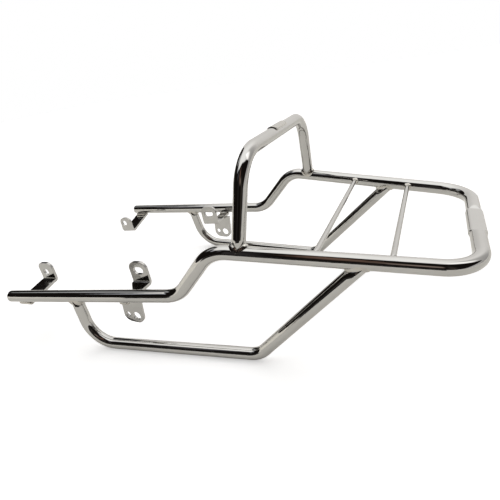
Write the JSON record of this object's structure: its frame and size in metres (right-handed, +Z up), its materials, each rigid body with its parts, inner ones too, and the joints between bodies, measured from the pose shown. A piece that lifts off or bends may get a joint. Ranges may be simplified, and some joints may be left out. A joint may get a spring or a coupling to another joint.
{
  "type": "motorcycle rear luggage rack",
  "caption": "Chromed steel tube luggage rack with a grab hoop, cross rods, side braces and folded mounting plates, bolted behind a motorcycle seat.",
  "frame": {"origin": "middle of the rack at floor level, under the deck centre line, as it stands on the bottom runs of its side braces", "axes": "+X to the rear of the vehicle, +Y to its right-hand side, +Z up; the deck falls 5.5 degrees to the rear in this stance and is level when the row is turned -5.5 degrees about +Y"},
  "size_m": [0.6112, 0.3375, 0.2439],
  "materials": {
    "tube": "polished chrome plate on steel tube",
    "rod": "polished chrome plate on steel rod",
    "plate": "chrome plate on 4 mm steel sheet, slightly less polished",
    "weld": "chrome plate over rippled weld metal",
    "blank": "polished chrome, plain",
    "plug": "chrome plate over a ground disc"
  },
  "bodies": {
    "root": {"main_rail": "tube", "grab_hoop": "tube", "hoop_blank": "blank", "rod_front": "rod", "rod_rear": "rod", "brace_left": "tube", "brace_right": "tube", "front_plate_left": "plate", "front_plate_right": "plate", "slot_plate_left": "plate", "slot_plate_right": "plate", "tab_plate_left": "plate", "tab_plate_right": "plate", "plug_left": "plug", "plug_right": "plug", "hoop_welds": "weld", "brace_front_welds": "weld", "brace_rear_welds": "weld", "rod_welds": "weld", "front_plate_welds": "weld", "slot_plate_welds": "weld", "tab_welds": "weld"}
  },
  "joints": []
}
